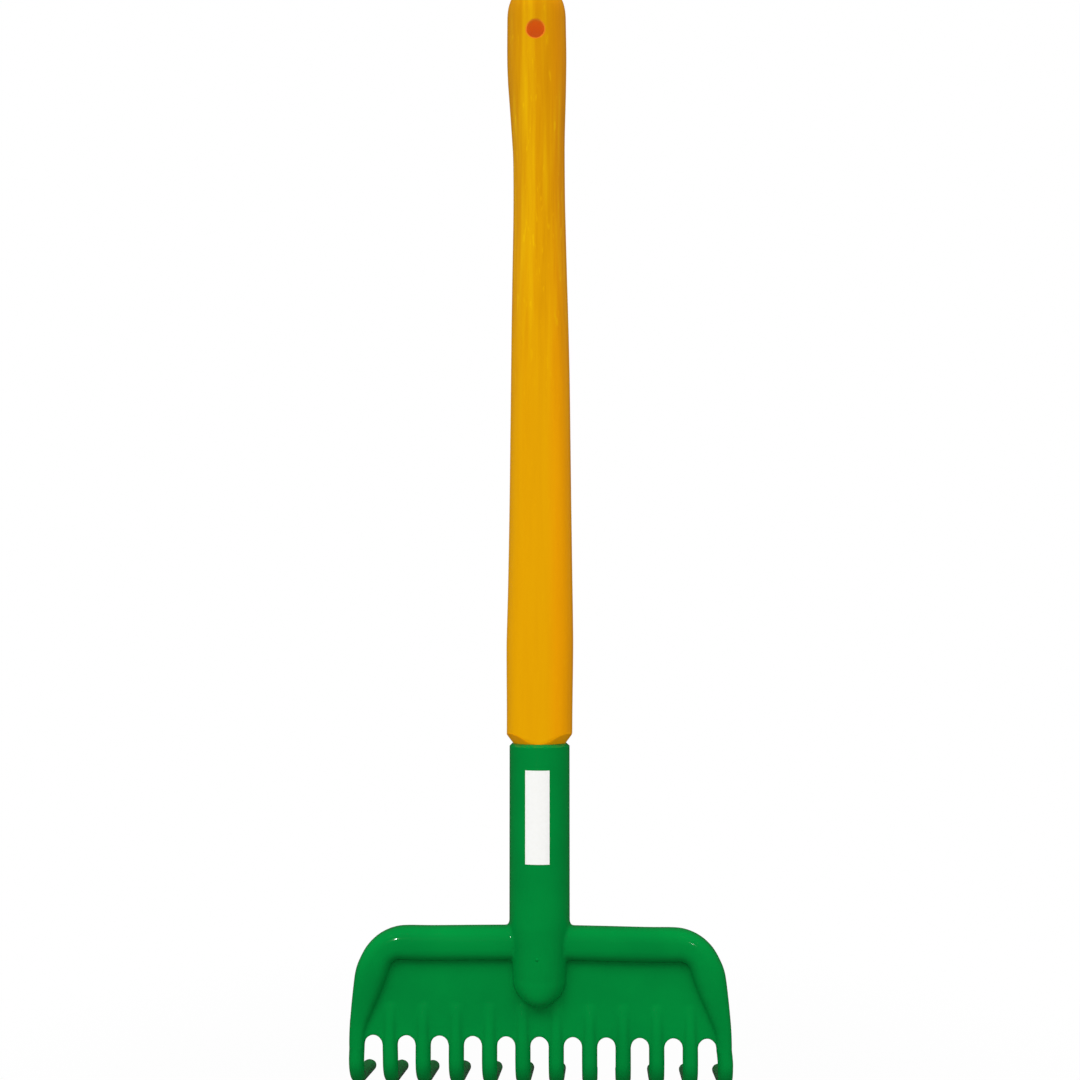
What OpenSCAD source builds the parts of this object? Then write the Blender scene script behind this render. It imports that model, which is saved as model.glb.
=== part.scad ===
// Children's sand rake: a lacquered wooden stick in a moulded head with twelve tines.
// Z runs up the stick, X to the right as seen from the front, and Y to the back, where the tines point.
// The origin is the middle of the hanging hole near the top of the stick.

/* [Grip end] */
// Depth of the stick from front to back, which is the same all along
stick_depth = 24.2; // [24:0.1:30]
// Diameter of the hanging hole
hole_d = 8; // [4:0.5:12]
// Height of the rounded end above the middle of the hanging hole
top_above_hole = 24.5; // [20:0.5:40]
// Height of the rounded end itself
dome_h = 17; // [12:0.5:19]
// Flat left at the very top, as a share of the grip's width
top_flat_share = 0.1; // [0.05:0.05:0.25]
// Width of the stick at the grip
grip_w = 27.3; // [24:0.1:34]
// How far the grip stands to the left of the shaft
grip_lean = 1.7; // [0:0.1:4]

/* [Shaft] */
// Distance from the hanging hole down to the mouth of the socket
hole_to_mouth = 322.7; // [280:0.1:420]
// Distance from the hanging hole down to the waist
hole_to_waist = 66; // [50:1:90]
// Width of the waist
waist_w = 23.6; // [20:0.1:28]
// Distance from the hanging hole down to the middle station of the shaft
hole_to_middle = 135; // [110:1:160]
// Width of the shaft at the middle station
middle_w = 25.9; // [25:0.1:30]
// Distance from the socket mouth up to the widest place of the shaft
mouth_to_swell = 41.7; // [30:0.1:80]
// Width of the shaft at its widest place
swell_w = 29.8; // [28:0.1:38]
// Width of the shaft just above its shoulder
shoulder_w = 29.3; // [28:0.1:38]
// Height of the turned bevel at the stick's two sides, from the full width down to the neck
shoulder_h = 4.2; // [2:0.1:8]
// How far the neck, which rests on the mouth of the socket, stands out round the tenon
neck_step = 0.5; // [0.3:0.05:0.6]
// Diameter of the tenon inside the socket
tenon_d = 22.3; // [20:0.1:24]
// How far the tenon reaches below the top of the rim
tenon_below_rim = 8; // [0:1:9]

/* [Socket and boss] */
// Wall of the socket tube
socket_wall = 2.2; // [1.8:0.1:4]
// Clearance between the tenon and the bore, on the radius
tenon_clearance = 0.15; // [0.05:0.05:0.3]
// Gap between the end of the tenon and the bottom of the bore
tenon_end_gap = 0.3; // [0.1:0.1:2]
// Size of the bevel round the mouth of the socket
mouth_bevel = 1.5; // [0.5:0.1:1.7]
// Distance from the mouth down to the top of the rim
mouth_to_rim = 81; // [60:1:110]
// Distance from the top of the rim down to where the boss starts to taper
rim_to_taper = 8; // [2:1:14]
// Length of the tapered stretch of the boss
boss_taper_length = 15; // [8:1:24]
// How far the boss narrows on each side down to its round bottom
boss_taper = 1.4; // [0.5:0.1:3]

/* [Rim and plate] */
// Diameter of the rim
rim_d = 14.2; // [9:0.1:16]
// How far the rim's top falls from the middle to each corner
rim_fall = 0.9; // [0:0.1:3]
// Distance from the last tine back to where each rounded corner starts
corner_inset = 22.1; // [20:0.1:30]
// Outer radius of the rounded corners
corner_r = 22; // [18:0.5:24]
// Thickness of the plate
plate_t = 3.2; // [2:0.1:5]
// Distance from the top of the rim down to the top of the gaps between the tines
rim_to_gaps = 48.9; // [42:0.1:70]

/* [Tines] */
// Number of tines
tine_count = 12; // [6:2:12]
// Distance from tine to tine
tine_pitch = 14.85; // [14:0.05:15.5]
// Diameter of a tine where it leaves the plate
tine_d = 6.9; // [5:0.1:8]
// Distance from the top of the gaps down to where the tines start to bend
gap_to_bend = 10.6; // [6:0.1:20]
// Radius of the bend, at the middle of the tine
bend_r = 10; // [6:0.1:14]
// Angle that the tines bend backwards, in degrees
bend_angle = 82; // [60:1:90]
// Length of the tine behind the bend
tine_length = 33; // [15:0.1:50]
// Diameter of the tine at its rounded tip
tip_d = 5.4; // [3:0.1:6.8]
// Height of the rib that runs up the plate from each inner tine
rib_length = 18.6; // [8:0.1:22]
// Diameter of the rib where it fades into the plate
rib_end_d = 2.6; // [1:0.1:3]

/* [Label] */
// Width of the label round the socket
label_w = 10.9; // [6:0.1:20]
// Height of the label
label_h = 41; // [20:0.5:55]
// Thickness of the label
label_t = 0.2; // [0.1:0.05:0.5]
// Distance from the mouth down to the label
mouth_to_label = 11.2; // [4:0.1:25]
// Angle of the label's middle to the left of the front, in degrees
label_turn = 2; // [-20:1:20]

/* [Screw] */
// Distance from the mouth down to the screw
mouth_to_screw = 17; // [10:0.5:50]
// Diameter of the screw's shank
screw_d = 3.5; // [3:0.1:4.5]
// Length of the screw under its head
screw_length = 16; // [10:0.5:20]
// Length of the screw's point
screw_point = 4; // [2:0.5:6]
// Diameter of the screw's head
screw_head_d = 7; // [6:0.1:8]
// Height of the screw's head
screw_head_h = 2.2; // [1.5:0.1:3]
// Diameter of the head's flat top, as a share of the whole head
head_top_share = 0.7; // [0.65:0.05:0.9]
// Width of the slots of the cross recess
recess_w = 0.9; // [0.6:0.1:1.2]
// Length of the slots of the cross recess
recess_length = 3.8; // [3:0.1:5]
// Depth of the cross recess
recess_depth = 1.3; // [0.8:0.1:1.4]
// Depth of the flat seat under the screw's head
seat_depth = 0.6; // [0.5:0.1:0.9]
// Gap round the screw's head, shank and point
screw_gap = 0.1; // [0.05:0.05:0.3]

/* [Hidden] */
// Fineness of the true rounds
$fn = 64;
// Overrun of every cut
overrun = 1;
// Where one round runs into the next, it is thinner by the seam on its radius, and goes in by the lap
seam = 0.05;
lap = 0.4;
// Points round the stick, and rings along its end, its shaft and its shoulder
round_steps = 40;
dome_rings = 8;
shaft_rings = 24;
bevel_rings = 5;
// How square the section is at the grip and at the widest place: 2 is an ellipse
round_power = 2;
square_power = 4.3;
// How full the rounded end is: 2 is a half ellipse
dome_power = 2.5;
// Share of the way from the hole to the waist over which the grip's lean dies out
lean_share = 1.3;
// How far up the bevel cuts the corners of the section, as a share of its height at the sides
corner_cut_share = 1.4;

shaft_x = grip_lean;
mouth_z = -hole_to_mouth;
bore_d = tenon_d + 2 * tenon_clearance;
tenon_length = mouth_to_rim + tenon_below_rim;
bore_length = tenon_length + tenon_end_gap;
neck_d = tenon_d + 2 * neck_step;
socket_d = bore_d + 2 * socket_wall;
boss_end_d = socket_d - 2 * boss_taper;
rim_top_z = mouth_z - mouth_to_rim;
rim_z = rim_top_z - rim_d / 2;
corner_mid_r = corner_r - rim_d / 2;
gap_w = tine_pitch - tine_d;
gap_z = rim_top_z - rim_to_gaps - gap_w / 2;
bend_z = rim_top_z - rim_to_gaps - gap_to_bend;
last_tine_x = (tine_count - 1) / 2 * tine_pitch;
corner_x = last_tine_x - corner_inset;
taper_z = rim_top_z - rim_to_taper;
boss_end_z = taper_z - boss_taper_length;

// Stations of the shaft from the hole downwards: distance below the hole, and width there
stations = [
    [0, grip_w],
    [hole_to_waist, waist_w],
    [hole_to_middle, middle_w],
    [hole_to_mouth - mouth_to_swell, swell_w],
    [hole_to_mouth - shoulder_h, shoulder_w]
];
last_station = len(stations) - 1;

// Slope from one station to the next
function secant(i) =
    (stations[i + 1][1] - stations[i][1]) / (stations[i + 1][0] - stations[i][0]);

// Slope at a station: level at the ends, the waist and the swell, so that the outline never overshoots
function slope(i) =
    i == 0 || i == last_station ? 0
    : secant(i - 1) * secant(i) <= 0 ? 0
    : 2 * secant(i - 1) * secant(i) / (secant(i - 1) + secant(i));

// The stretch between stations that holds a distance below the hole
function stretch(down, i = 0) =
    i == last_station - 1 || down <= stations[i + 1][0] ? i : stretch(down, i + 1);

// Width of the shaft on a smooth curve through the stations
function curve(t, span, w0, s0, w1, s1) =
    w0 * (2 * t ^ 3 - 3 * t ^ 2 + 1) + w1 * (3 * t ^ 2 - 2 * t ^ 3)
    + span * (s0 * (t ^ 3 - 2 * t ^ 2 + t) + s1 * (t ^ 3 - t ^ 2));

function width_in(down, i) =
    let (span = stations[i + 1][0] - stations[i][0])
    curve((down - stations[i][0]) / span, span,
        stations[i][1], slope(i), stations[i + 1][1], slope(i + 1));

function shaft_width(down) = width_in(down, stretch(down));

// How far the section has gone from round, 0, to square, 1: it starts below the waist
function squareness(down) =
    down < hole_to_waist ? 0
    : min(1, max(0, (shaft_width(down) - waist_w) / (swell_w - waist_w)));

// The grip's middle stands left of the shaft, and the lean dies out below the waist
function middle_x(down) =
    let (t = min(1, max(0, down / (hole_to_waist * lean_share))))
    shaft_x * (1 - cos(180 * t)) / 2;

// One ring of points: an ellipse at power 2, and a rounded rectangle at higher powers
function unit_power(v, power) = sign(v) * abs(v) ^ (2 / power);

function ring(x, z, width, depth, power) = [
    for (k = [0 : round_steps - 1])
        let (a = 360 * (k + 0.5) / round_steps)
        [x + width / 2 * unit_power(cos(a), power), depth / 2 * unit_power(sin(a), power), z]
];

// Rings from the rounded end to the neck
dome_base_z = top_above_hole - dome_h;
shaft_top = -dome_base_z;
bevel_top = shoulder_h * corner_cut_share;
shaft_bottom = hole_to_mouth - bevel_top;

function dome_ring(i) =
    let (up = sin(90 * i / dome_rings),
        narrow = max(top_flat_share, (1 - up ^ dome_power) ^ (1 / dome_power)))
    ring(middle_x(0), dome_base_z + dome_h * up, grip_w * narrow, stick_depth * narrow,
        round_power);

function section(z) =
    let (down = min(hole_to_mouth - shoulder_h, max(0, -z)))
    ring(middle_x(down), z, shaft_width(down), stick_depth,
        round_power + (square_power - round_power) * squareness(down));

function shaft_ring(i) = section(-shaft_top - (shaft_bottom - shaft_top) * i / shaft_rings);

// The bevel is a turned cone: no point of a section lies outside it
function bevel_ring(i) =
    let (up = bevel_top * (1 - i / bevel_rings),
        r = neck_d / 2 + (shoulder_w - neck_d) / 2 * up / shoulder_h)
    [for (p = section(mouth_z + up))
        let (k = min(1, r / norm([p[0] - shaft_x, p[1]])))
        [shaft_x + (p[0] - shaft_x) * k, p[1] * k, p[2]]];

stick_rings = concat(
    [for (i = [dome_rings : -1 : 1]) dome_ring(i)],
    [for (i = [0 : shaft_rings]) shaft_ring(i)],
    [for (i = [1 : bevel_rings]) bevel_ring(i)]
);

// A solid skinned over rings of equal length that go downwards
module skin(rings) {
    n = len(rings[0]);
    last = len(rings) - 1;
    points = [for (r = rings) each r];
    faces = concat(
        [[for (k = [n - 1 : -1 : 0]) k]],
        [for (i = [0 : last - 1]) for (k = [0 : n - 1]) each [
            [i * n + k, i * n + (k + 1) % n, (i + 1) * n + k],
            [i * n + (k + 1) % n, (i + 1) * n + (k + 1) % n, (i + 1) * n + k]
        ]],
        [[for (k = [0 : n - 1]) last * n + k]]
    );
    polyhedron(points, faces);
}

// The stick: skinned body, exact tenon, hanging hole and pilot hole for the screw
module handle() {
    color("goldenrod") difference() {
        union() {
            skin(stick_rings);
            translate([shaft_x, 0, mouth_z - tenon_length])
                cylinder(d = tenon_d, h = tenon_length + shoulder_h / 2);
        }
        rotate([90, 0, 0])
            cylinder(d = hole_d, h = stick_depth + 2 * overrun, center = true);
        screw_place()
            translate([0, 0, -screw_length - screw_gap])
                cylinder(d = screw_d + 2 * screw_gap, h = screw_length + overrun);
    }
}

// Where the screw sits: Z points out of the back of the socket, and 0 is the seat under the head
seat_y = socket_d / 2 - seat_depth;
module screw_place() {
    translate([shaft_x, seat_y, mouth_z - mouth_to_screw]) rotate([-90, 0, 0]) children();
}

// Socket tube and boss: one turned shape with a round bottom
module socket_and_boss() {
    rotate_extrude() polygon([
        [0, mouth_z],
        [socket_d / 2 - mouth_bevel, mouth_z],
        [socket_d / 2, mouth_z - mouth_bevel],
        [socket_d / 2, taper_z],
        [boss_end_d / 2 - seam, boss_end_z],
        [0, boss_end_z]
    ]);
    translate([0, 0, boss_end_z]) sphere(d = boss_end_d);
}

// Angle by which the rim falls, and angle of the side bars from upright
fall_angle = atan(rim_fall / corner_x);
corner_z = rim_z - rim_fall;
pivot_x = corner_x - corner_mid_r * sin(fall_angle);
pivot_z = corner_z - corner_mid_r * cos(fall_angle);
side_reach = last_tine_x - pivot_x;
side_drop = pivot_z - gap_z;
side_angle = asin(side_reach / norm([side_reach, side_drop]))
    - asin(corner_mid_r / norm([side_reach, side_drop]));
side_x = pivot_x + corner_mid_r * cos(side_angle);
side_z = pivot_z + corner_mid_r * sin(side_angle);
side_length = (side_z - gap_z) / cos(side_angle);

// One half of the rim: top bar, rounded corner, and a side bar that tapers into the last tine
module half_rim() {
    translate([0, 0, rim_z]) rotate([0, 90 + fall_angle, 0])
        translate([0, 0, lap])
            cylinder(r = rim_d / 2 - seam, h = norm([corner_x, rim_fall]));
    translate([pivot_x, 0, pivot_z]) rotate([90, 0, 0]) rotate([0, 0, side_angle])
        rotate_extrude(angle = 90 - side_angle - fall_angle)
            translate([corner_mid_r, 0]) circle(d = rim_d);
    translate([side_x, 0, side_z]) rotate([0, 180 - side_angle, 0]) translate([0, 0, -lap])
        cylinder(r1 = rim_d / 2 - seam, r2 = tine_d / 2 - seam, h = side_length + lap);
    translate([last_tine_x, 0, gap_z]) sphere(d = tine_d);
}

// Plate between the rim and the tines, with a round-topped gap between each two tines
module plate() {
    half = [
        [corner_x, corner_z],
        [pivot_x + corner_mid_r * sin(45), pivot_z + corner_mid_r * cos(45)],
        [side_x, side_z],
        [last_tine_x, gap_z]
    ];
    last = len(half) - 1;
    rotate([90, 0, 0]) linear_extrude(plate_t, center = true) difference() {
        polygon(concat(half, [for (i = [last : -1 : 0]) [-half[i][0], half[i][1]]]));
        for (i = [0 : tine_count - 2])
            translate([-last_tine_x + (i + 0.5) * tine_pitch, gap_z]) circle(d = gap_w);
    }
}

// One tine: upright stem, bend to the back, and a tapered point with a round tip
module tine() {
    stem = gap_z - bend_z;
    tip_straight = tine_length - tip_d / 2;
    translate([0, 0, bend_z - lap]) cylinder(r = tine_d / 2 - seam, h = stem + 2 * lap);
    translate([0, bend_r, bend_z]) rotate([0, 90, 0]) rotate([0, 0, -90])
        rotate_extrude(angle = bend_angle)
            translate([bend_r, 0]) circle(d = tine_d);
    translate([0, bend_r, bend_z]) rotate([bend_angle, 0, 0])
        translate([0, -bend_r, 0]) rotate([180, 0, 0]) {
            translate([0, 0, -lap])
                cylinder(r1 = tine_d / 2 - seam, r2 = tip_d / 2 - seam, h = tip_straight + lap);
            translate([0, 0, tip_straight]) sphere(d = tip_d);
        }
}

// Rib that carries an inner tine up the plate and fades into it
module rib() {
    translate([0, 0, gap_z]) cylinder(d1 = tine_d, d2 = rib_end_d, h = rib_length);
}

// The whole moulding, bored for the tenon and drilled and seated for the screw
module rake_head() {
    color("seagreen") difference() {
        translate([shaft_x, 0, 0]) union() {
            socket_and_boss();
            half_rim();
            mirror([1, 0, 0]) half_rim();
            plate();
            for (i = [0 : tine_count - 1])
                translate([-last_tine_x + i * tine_pitch, 0, 0]) {
                    tine();
                    if (i > 0 && i < tine_count - 1) rib();
                }
        }
        translate([shaft_x, 0, mouth_z - bore_length])
            cylinder(d = bore_d, h = bore_length + overrun);
        screw_place() {
            translate([0, 0, -socket_d / 2]) cylinder(d = screw_d + 2 * screw_gap, h = socket_d / 2);
            cylinder(d = screw_head_d + 2 * screw_gap, h = screw_head_h);
        }
    }
}

// Bare sticker that lies round the front of the socket
module label() {
    label_angle = label_w / (socket_d / 2) * 180 / PI;
    color("white")
        translate([shaft_x, 0, mouth_z - mouth_to_label - label_h])
            rotate([0, 0, -90 - label_turn - label_angle / 2])
                rotate_extrude(angle = label_angle)
                    translate([socket_d / 2, 0]) square([label_t, label_h]);
}

// Pan-head screw with a cross recess
module fixing_screw() {
    color("silver") screw_place() {
        difference() {
            union() {
                cylinder(d = screw_head_d, h = screw_head_h / 2);
                translate([0, 0, screw_head_h / 2])
                    cylinder(d1 = screw_head_d, d2 = screw_head_d * head_top_share, h = screw_head_h / 2);
            }
            for (a = [0, 90])
                rotate([0, 0, a])
                    translate([-recess_length / 2, -recess_w / 2, screw_head_h - recess_depth])
                        cube([recess_length, recess_w, recess_depth + overrun]);
        }
        translate([0, 0, -screw_length + screw_point])
            cylinder(d = screw_d, h = screw_length - screw_point);
        translate([0, 0, -screw_length])
            cylinder(d1 = 0, d2 = screw_d, h = screw_point);
    }
}

handle();
rake_head();
label();
fixing_screw();
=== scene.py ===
# %% [markdown]
# # A child's sand rake
# The real rake has two big parts: a beech stick, shaped, sanded and dipped in yellow lacquer, and a head
# that is moulded in one shot from green polypropylene. A bare label lies on the socket of the head, and one
# screw at the back holds the stick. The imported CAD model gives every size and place. This script gives the
# looks.

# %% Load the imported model
import math

import bmesh
import bpy
import numpy as np
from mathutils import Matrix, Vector


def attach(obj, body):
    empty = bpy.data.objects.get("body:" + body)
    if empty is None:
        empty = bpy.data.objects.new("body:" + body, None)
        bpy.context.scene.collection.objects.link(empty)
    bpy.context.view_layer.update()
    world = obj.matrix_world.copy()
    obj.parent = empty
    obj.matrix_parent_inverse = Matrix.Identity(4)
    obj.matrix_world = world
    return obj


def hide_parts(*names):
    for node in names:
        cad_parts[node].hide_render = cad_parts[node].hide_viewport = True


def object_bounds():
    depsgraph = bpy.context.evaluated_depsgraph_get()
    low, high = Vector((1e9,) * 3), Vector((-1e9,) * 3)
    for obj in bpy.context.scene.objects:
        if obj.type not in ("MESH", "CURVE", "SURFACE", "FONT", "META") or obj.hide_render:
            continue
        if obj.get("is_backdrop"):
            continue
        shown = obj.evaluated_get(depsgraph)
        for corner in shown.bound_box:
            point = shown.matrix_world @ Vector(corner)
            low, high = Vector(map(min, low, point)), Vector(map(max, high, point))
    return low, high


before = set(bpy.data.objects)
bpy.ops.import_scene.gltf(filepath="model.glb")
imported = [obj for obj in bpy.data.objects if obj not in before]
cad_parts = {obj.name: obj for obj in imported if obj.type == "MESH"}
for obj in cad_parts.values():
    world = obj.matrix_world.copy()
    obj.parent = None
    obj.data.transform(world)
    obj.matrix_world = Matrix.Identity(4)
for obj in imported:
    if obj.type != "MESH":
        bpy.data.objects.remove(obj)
cad_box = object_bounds()
MM = 0.001  # the frame is in metres, and every size below is written in millimetres
print("CAD nodes:", sorted(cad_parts))

# %% [markdown]
# ## The camera
# The rake was photographed from the front, from about 0.7 m away, with the lens 4 cm below the middle of
# the rake and 3 cm to its right. Its place and focal length come from matching known points of the head and
# the stick. The picture cuts off the top of the grip and the lowest millimetres of the tines, so the camera
# does the same.

# %% Place the camera
CAMERA_PLACE = (30.8, -680.0, -267.7)
CAMERA_AIM = (1.59, 0.0, -231.44)

camera_data = bpy.data.cameras.new("camera")
camera_data.sensor_width = 36.0
camera_data.lens = 50.17
camera = bpy.data.objects.new("camera", camera_data)
camera.location = Vector(CAMERA_PLACE) * MM
look = Vector(CAMERA_AIM) * MM - camera.location
camera.rotation_euler = look.to_track_quat("-Z", "Y").to_euler()
bpy.context.collection.objects.link(camera)
bpy.context.scene.camera = camera
print("camera distance, mm:", round(look.length / MM, 1))

# %% [markdown]
# ## Two helpers for shapes
# A turned, carved or moulded form can be drawn as a row of rings, like the ribs of a boat, with a skin over
# them. `loft` puts that skin on. `spline` draws the smooth curve through a few measured stations, because a
# ruler only gives a size every few centimetres, and straight lines between them would show as kinks in the
# gloss.


# %% Define loft and spline
def loft(rings):
    """Points and faces of a closed skin over rings of equal length, first and last ring capped."""
    count = len(rings[0])
    points = [tuple(p) for ring in rings for p in ring]
    faces = [tuple(range(count))]
    for i in range(len(rings) - 1):
        for k in range(count):
            a, b = i * count + k, i * count + (k + 1) % count
            faces.append((a, a + count, b + count, b))
    faces.append(tuple(range(len(points) - 1, len(points) - count - 1, -1)))
    return points, faces


def spline(stations, steps):
    """A Catmull-Rom curve through the stations, rows of numbers, with steps rows from one to the next."""
    s = np.array(stations, float)
    s = np.vstack([2 * s[0] - s[1], s, 2 * s[-1] - s[-2]])
    rows = []
    for i in range(1, len(s) - 2):
        for t in np.arange(steps) / steps:
            rows.append(0.5 * (2 * s[i] + (s[i + 1] - s[i - 1]) * t
                               + (2 * s[i - 1] - 5 * s[i] + 4 * s[i + 1] - s[i + 2]) * t ** 2
                               + (3 * s[i] - s[i - 1] - 3 * s[i + 1] + s[i + 2]) * t ** 3))
    return np.array(rows + [s[-2]])


def make_object(name, shells):
    """One mesh object from a list of (points in mm, faces), with its normals outwards."""
    points, faces = [], []
    for shell_points, shell_faces in shells:
        faces += [tuple(k + len(points) for k in face) for face in shell_faces]
        points += [tuple(c * MM for c in p) for p in shell_points]
    mesh = bpy.data.meshes.new(name)
    mesh.from_pydata(points, [], faces)
    shape = bmesh.new()
    shape.from_mesh(mesh)
    bmesh.ops.recalc_face_normals(shape, faces=shape.faces)
    shape.to_mesh(mesh)
    shape.free()
    piece = bpy.data.objects.new(name, mesh)
    bpy.context.collection.objects.link(piece)
    print(name, "has", len(mesh.polygons), "faces")
    return piece


# %% [markdown]
# ## The stick: measured outline
# The stick is one piece of beech, 24 mm thick all along. Seen from the front it is 27 mm wide at the grip,
# narrows to a waist that fingers can close round, and swells again towards the head. The widths below were
# read off the picture every centimetre or two, with the middle of each, because the grip leans a little to
# the left.

# %% Write down the stick's stations
# Height above the middle of the hanging hole, width, and middle in X, all in mm
STICK_STATIONS = [
    (7.5, 27.0, 0.0), (-8, 27.3, 0.1), (-19, 26.9, 0.2), (-29, 26.0, 0.45), (-38, 25.1, 0.65),
    (-47, 24.25, 0.85), (-57, 23.65, 1.1), (-75, 23.65, 1.25), (-89, 24.05, 1.35), (-108, 24.8, 1.45),
    (-135, 25.85, 1.65), (-158, 26.5, 1.8), (-190, 27.15, 1.85), (-218, 27.8, 1.85), (-250, 28.75, 1.8),
    (-268, 29.45, 1.7), (-281, 29.8, 1.6), (-306, 29.3, 1.5), (-317, 29.2, 1.45), (-322.7, 29.2, 1.4),
]
STICK_DEPTH = 24.2
MOUTH_Z = -322.7  # the mouth of the socket, where the stick's neck rests
SHAFT_X = 1.4  # the middle of the socket
stick_curve = spline(STICK_STATIONS, 8)[::-1]


def stick_at(z):
    """Width and middle of the stick at a height."""
    return (np.interp(z, stick_curve[:, 0], stick_curve[:, 1]),
            np.interp(z, stick_curve[:, 0], stick_curve[:, 2]))


print("stick, widest:", round(float(stick_curve[:, 1].max()), 1), "mm")

# %% [markdown]
# ## The stick: section
# At the grip the section is an oval. Below the waist it turns into a rounded rectangle: the front keeps a
# flat face 13 mm wide, which catches one even tone, and the four long edges are rounded over by about 8 mm.
# A router with a rounding bit would leave just this. So each ring is a rounded rectangle whose corner
# radius shrinks downwards.

# %% Draw one section of the stick
CORNER_STEPS, FLAT_STEPS = 14, 8  # points on each rounded corner, and on the flat front and back
SQUARE_Z, SQUARE_LENGTH = -70, 130  # where the edges start to square up, and over what length
SQUARE_SHARE = 0.44  # how much of the rounding is lost there
WIDEST_ROUND, SIDE_ROUND = 0.97, 0.35  # most rounding of the front, and least rounding of the sides


def corner_share(z):
    """How far the section is rounded: 1 is an oval, and less leaves flats between the rounded edges."""
    squared = min(1.0, max(0.0, (SQUARE_Z - z) / SQUARE_LENGTH))
    return 1 - SQUARE_SHARE * (squared * squared * (3 - 2 * squared))


def section(z, width, depth, middle):
    """A ring round the stick at height z, with elliptical corners."""
    across, deep, share = width / 2, depth / 2, corner_share(z)
    rx, ry = across * min(WIDEST_ROUND, share), deep * (SIDE_ROUND + (1 - SIDE_ROUND) * share)
    ring = []
    for quarter, (sx, sy) in enumerate([(1, 1), (-1, 1), (-1, -1), (1, -1)]):
        for k in range(CORNER_STEPS + 1):
            turn = math.pi / 2 * (quarter + k / CORNER_STEPS)
            ring.append((middle + sx * (across - rx) + rx * math.cos(turn),
                         sy * (deep - ry) + ry * math.sin(turn), z))
        if sx == sy:
            ring += [(middle + sx * (across - rx) * (1 - 2 * k / FLAT_STEPS), sy * deep, z)
                     for k in range(1, FLAT_STEPS)]
    return ring


lowest = stick_curve[0]
print("points in a section:", len(section(lowest[0], lowest[1], STICK_DEPTH, lowest[2])))

# %% [markdown]
# ## The stick: rounded end, shaft, bevel and tenon
# The end is sanded to a full dome. At the other end a lathe has cut a bevel round the rectangle, down to a
# round neck, and then the tenon that goes into the socket. A turned cone cuts the wide sides deep and
# barely touches the flat front, so the bevel shows as two darker wedges with the bright face between them.
# Limiting every point to the cone's radius gives exactly that cut.

# %% Cut a ring to the bevel
NECK_R = 12.0
BEVEL_SLOPE = 0.76  # how fast the cone widens upwards
BEVEL_TOP = 5.4  # height over which the cone still touches the corners


def inside_cone(ring, z):
    """The ring with no point outside the turned bevel."""
    limit = NECK_R + (z - MOUTH_Z) * BEVEL_SLOPE
    kept = []
    for x, y, _ in ring:
        share = min(1.0, limit / math.hypot(x - SHAFT_X, y))
        kept.append((SHAFT_X + (x - SHAFT_X) * share, y * share, z))
    return kept


print("radius of the cone at the top of the bevel:", round(NECK_R + BEVEL_TOP * BEVEL_SLOPE, 1), "mm")

# %% Loft the stick
TOP_Z, DOME_BASE_Z, DOME_POWER = 24.5, 7.5, 2.5
FIRST_RING, LEAST_SHARE = 0.995, 0.03  # the first ring lies a hair below the top, so that it has a size
RING_GAP, BEVEL_RINGS = 4, 18  # mm between rings on the shaft, and rings on the bevel
BEVEL_LEAD = 0.3  # mm from the last ring of the shaft to the first of the bevel
TENON_R, TENON_LENGTH, TENON_CHAMFER = 11.15, 89.0, 1.0
NECK_END, TENON_START = 0.05, 0.02  # mm above the mouth

rings = []
width, middle = stick_at(DOME_BASE_Z)
for up in np.sin(np.linspace(math.pi / 2 * FIRST_RING, 0, 22)):
    narrow = max(LEAST_SHARE, (1 - up ** DOME_POWER) ** (1 / DOME_POWER))
    z = DOME_BASE_Z + (TOP_Z - DOME_BASE_Z) * up
    rings.append(section(z, width * narrow, STICK_DEPTH * narrow, middle))
for z in np.arange(DOME_BASE_Z - RING_GAP, MOUTH_Z + BEVEL_TOP + RING_GAP / 2, -RING_GAP):
    width, middle = stick_at(z)
    rings.append(section(z, width, STICK_DEPTH, middle))
for up in [BEVEL_TOP + BEVEL_LEAD] + list(np.linspace(BEVEL_TOP, NECK_END, BEVEL_RINGS)):
    width, middle = stick_at(MOUTH_Z + up)
    rings.append(inside_cone(section(MOUTH_Z + up, width, STICK_DEPTH, middle), MOUTH_Z + up))
turns = [math.atan2(y, x - SHAFT_X) for x, y, _ in rings[-1]]
for down, r in ((-TENON_START, TENON_R), (RING_GAP, TENON_R), (TENON_LENGTH - TENON_CHAMFER, TENON_R),
                (TENON_LENGTH, TENON_R - TENON_CHAMFER)):
    rings.append([(SHAFT_X + r * math.cos(a), r * math.sin(a), MOUTH_Z - down) for a in turns])
stick = make_object("stick", [loft(rings)])


# %% [markdown]
# ## Drilling and cutting
# The hanging hole is drilled through the dome and its lips are sanded round, and the socket is drilled for
# a screw. In Blender a drill is a second mesh that a Boolean modifier takes away. `combine` applies it at
# once, so that the piece stays one clean mesh.


# %% Define turned, apply_modifiers and combine
AXIS_R = 0.05  # where a turned profile ends, so that no ring shrinks to a point


def turned(profile, steps, put):
    """Rings of a shape turned about Z, from a profile of (radius, height), each point put in place."""
    return [[put(r * math.cos(a), r * math.sin(a), z) for a in np.arange(steps) * 2 * math.pi / steps]
            for r, z in profile]


def apply_modifiers(piece):
    """Turn what a piece's modifiers show into its mesh."""
    bpy.context.view_layer.update()
    view = bpy.context.evaluated_depsgraph_get()
    mesh = bpy.data.meshes.new_from_object(piece.evaluated_get(view))
    piece.modifiers.clear()
    old, piece.data = piece.data, mesh
    mesh.name = piece.name
    bpy.data.meshes.remove(old)


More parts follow.
